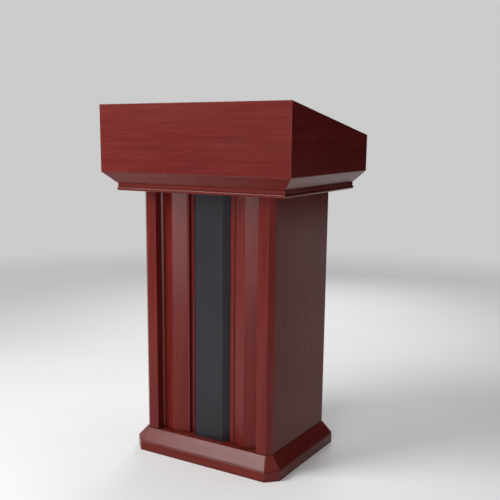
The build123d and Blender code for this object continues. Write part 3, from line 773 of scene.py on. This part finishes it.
# %% Model the blade and fit the key
blade_thickness, blade_length, blade_height = 1.2 * MM, 20.0 * MM, 6.4 * MM
blade_top = bow_y - bow_radius * 0.6
cut_lifts = {1: 1.6 * MM, 3: 0.9 * MM, 5: 2.0 * MM, 7: 1.2 * MM}


def cut_place(number):
    """How far along Y a numbered division of the blade lies."""
    return blade_top - blade_length * (0.28 + number * 0.072)


start_afresh()
bpy.ops.mesh.primitive_cube_add(size=1, location=(plug_centre.x, blade_top - blade_length / 2, plug_centre.z))
blade = bpy.context.object
blade.scale = (blade_thickness, blade_length, blade_height)
bring_home(blade, "key_blade")
for number in range(1, 10):
    choose_faces(blade, lambda centre, normal: True)
    bpy.ops.mesh.bisect(plane_co=(plug_centre.x, cut_place(number), plug_centre.z), plane_no=(0, 1, 0))
for number, lift in cut_lifts.items():
    near, far = cut_place(number), cut_place(number + 1)
    choose_faces(blade, lambda centre, normal: normal.z < -0.5 and far < centre.y < near)
    bpy.ops.transform.translate(value=(0, 0, lift))
work_in(lock_key, blade, "UNION")
soften(lock_key, 0.18 * MM, angle=40)
fit_out(lock_key, "door_lock", "satin_nickel")

# %% [markdown]
# ### Catch plates
# Inside each magnetic catch a flat magnet is held between two steel pole plates, whose
# edges stand a hair proud of the housing and nearly meet the strike plate on the door.
# Only the edges show, so a plate is a thin block with its rear face inset and raised
# into a ground edge.

# %% Model the pole plates
plate_length, plate_depth, plate_thickness = 30.0 * MM, 2.4 * MM, 1.5 * MM
plate_sunk = 0.95 * MM         # middle of a plate behind the face of the housing
plate_offset = 2.6 * MM        # middle of a plate above or below the magnet's

start_afresh()
bpy.ops.mesh.primitive_cube_add(size=1)
master_plate = bpy.context.object
master_plate.scale = (plate_length, plate_depth, plate_thickness)
bring_home(master_plate, "pole_plate")
choose_faces(master_plate, facing(0, 1, 0))
bpy.ops.mesh.inset(thickness=0.35 * MM)
bpy.ops.transform.translate(value=(0, 0.12 * MM, 0))
soften(master_plate, 0.12 * MM, angle=30)
plate_copies = []
for low, high in catch_boxes:
    centre = (low + high) / 2
    for side in (-1, 1):
        place = (centre.x, high.y - plate_sunk, centre.z + side * plate_offset)
        plate_copies.append(copy_to(master_plate, place))
bpy.data.objects.remove(master_plate)
fit_out(join_pieces(plate_copies, "catch_pole_plates"), "carcass", "zinc_steel")

# %% [markdown]
# ### Catch screws
# Two small screws hold each catch up under the top board. They are of the same kind as
# the hinge screws, only smaller, so the same function makes them and only the part
# that shows is long enough to be modelled.

# %% Set the catch screws
catch_screw_edge = 5.0 * MM    # from the end of the housing
catch_screw_proud = 0.5 * MM   # of the housing's underside
master_screw = crossed_screw(2.6 * MM, 1.2 * MM, 4.0 * MM)
screw_copies = []
for low, high in catch_boxes:
    for x in (low.x + catch_screw_edge, high.x - catch_screw_edge):
        place = (x, (low.y + high.y) / 2, low.z - catch_screw_proud)
        screw_copies.append(copy_to(master_screw, place, (180, "X"), (50 * len(screw_copies), "Z")))
bpy.data.objects.remove(master_screw)
fit_out(join_pieces(screw_copies, "catch_screws"), "carcass", "zinc_steel")

# %% [markdown]
# ## Studio
# The floor is one large plane. A plane that simply ended, or ran on to a dark horizon,
# would draw a hard line behind the lectern and blacken its reflections. So far from the
# lectern the floor melts into the pale surroundings, for the camera and for reflections
# alike, while near it the floor stays a real surface that keeps the shadow.

# %% Lay the floor
PALE = 0.60            # brightness of the empty surroundings, where 1 is white
MELT_FROM, MELT_TO = 1.4, 4.6    # distances over which the floor melts into them


def looking_rays(tree):
    """A value that is 1 for the camera, for reflections and for what shows through glass."""
    rays = add_node(tree, "LightPath").outputs
    seen = combine(tree, "MAXIMUM", rays["Is Camera Ray"], rays["Is Glossy Ray"])
    return combine(tree, "MAXIMUM", seen, rays["Is Transmission Ray"])


def floor_finish():
    """A pale, dull studio floor that melts into the surroundings far from the lectern."""
    finish, tree, shader = new_finish("studio_floor", Roughness=0.7, Specular_IOR_Level=0.2)
    place = add_node(tree, "TexCoord").outputs["Object"]
    cloud = noise(tree, place, 1.5, detail=2.0)
    shade = add_ramp(tree, cloud, [(0.3, linear(233, 233, 233)), (0.7, linear(237, 237, 237))])
    feed(tree, shader, Base_Color=shade)
    away = add_node(tree, "VectorMath", {"operation": "LENGTH"})
    tree.links.new(place, away.inputs[0])
    far = map_range(tree, away.outputs["Value"], MELT_FROM, MELT_TO, 0.0, 1.0)
    fade = combine(tree, "MULTIPLY", far, looking_rays(tree))
    haze = add_node(tree, "Emission", {"Color": WHITE, "Strength": PALE})
    melt = tree.nodes.new("ShaderNodeMixShader")
    for socket, output in zip(melt.inputs, (fade, shader.outputs[0], haze.outputs[0])):
        tree.links.new(output, socket)
    tree.links.new(melt.outputs[0], tree.nodes["Material Output"].inputs["Surface"])
    return finish


start_afresh()
bpy.ops.mesh.primitive_plane_add(size=60.0)
floor = bpy.context.object
floor.name = "studio_floor"
floor.data.materials.append(floor_finish())
print("floor", tuple(floor.dimensions))

# %% [markdown]
# ### Softboxes
# Lacquered wood shows what it faces, so the lamps are wide and soft. A large one in front
# lights all the front boards evenly, and a smaller one high on the left brightens the
# top edges. A panel level with the head is seen in its lacquer, and a low one fills the
# plinth. One overhead and one behind light the writing surface and the doors. The
# right side gets none of its own, so it stays dark and gives the lectern its form. The
# large lamp is left out of reflections, because seen along that side it would burn out.

# %% Hang the softboxes
def softbox(name, place, target, width, height, power):
    """A rectangular area light turned to face a target, out of the camera's sight."""
    lamp = bpy.data.lights.new(name, "AREA")
    lamp.shape = "RECTANGLE"
    lamp.size = width
    lamp.size_y = height
    lamp.energy = power
    holder = bpy.data.objects.new(name, lamp)
    bpy.context.scene.collection.objects.link(holder)
    holder.location = place
    holder.visible_camera = False
    holder.rotation_euler = (Vector(target) - Vector(place)).to_track_quat("-Z", "Y").to_euler()
    return holder


middle = (0.0, -0.05, 0.6)
key_light = softbox("key_softbox", (1.00, -3.60, 1.75), middle, 1.6, 1.6, 37.0)
key_light.visible_glossy = False
softbox("front_left_strip", (-1.276, -1.70, 2.67), middle, 1.3, 1.3, 62.0)
softbox("window_panel", (-2.05, -2.75, 2.30), (0.0, 0.0, 2.30), 1.9, 1.2, 34.0)
softbox("low_front_panel", (0.30, -2.90, 0.62), (0.0, 0.0, 0.50), 1.3, 1.1, 20.0)
softbox("top_softbox", (0.2, 1.1, 3.2), middle, 2.0, 2.0, 24.0)
softbox("rear_softbox", (-1.0, 2.7, 1.6), middle, 1.5, 1.5, 30.0)
print("lamps", [lamp.name for lamp in bpy.data.lights])

# %% [markdown]
# ### Black flag
# A studio keeps a dark side dark with a flag, a black cloth on a frame, placed where
# that side would reflect the pale room. The cloth here is hidden from the camera and
# casts no shadow, so that only reflections meet it.

# %% Stand a black flag behind the dark side
start_afresh()
bpy.ops.mesh.primitive_plane_add(
    size=1.0, location=(1.55, 2.75, 1.65), rotation=(math.radians(90), 0, math.radians(-30))
)
flag = bpy.context.object
flag.scale = (3.4, 2.3, 1.0)
bring_home(flag, "studio_flag")
flag.visible_camera = False
flag.visible_shadow = False
flag_cloth, _, _ = new_finish(
    "black_flag_cloth", Base_Color=(0.01, 0.01, 0.01, 1), Roughness=0.9, Specular_IOR_Level=0.1
)
flag.data.materials.append(flag_cloth)
print("flag", tuple(round(size, 2) for size in flag.dimensions))

# %% [markdown]
# ### Surroundings
# The world is one plain colour with two strengths. What the camera or a reflection
# meets is pale, like a studio wall, while the light that it sheds on the lectern is
# weaker, so that the softboxes model the form.

# %% Set the surroundings
def pale_surroundings(seen, lighting):
    """A plain white world: pale where it is looked at, weaker as a light."""
    world = bpy.data.worlds.new("studio_surroundings")
    bpy.context.scene.world = world
    world.use_nodes = True
    tree = world.node_tree
    back = tree.nodes["Background"]
    back.inputs["Color"].default_value = WHITE
    feed(tree, back, Strength=map_range(tree, looking_rays(tree), 0.0, 1.0, lighting, seen))


pale_surroundings(seen=PALE, lighting=0.12)
print("world", bpy.context.scene.world.name)
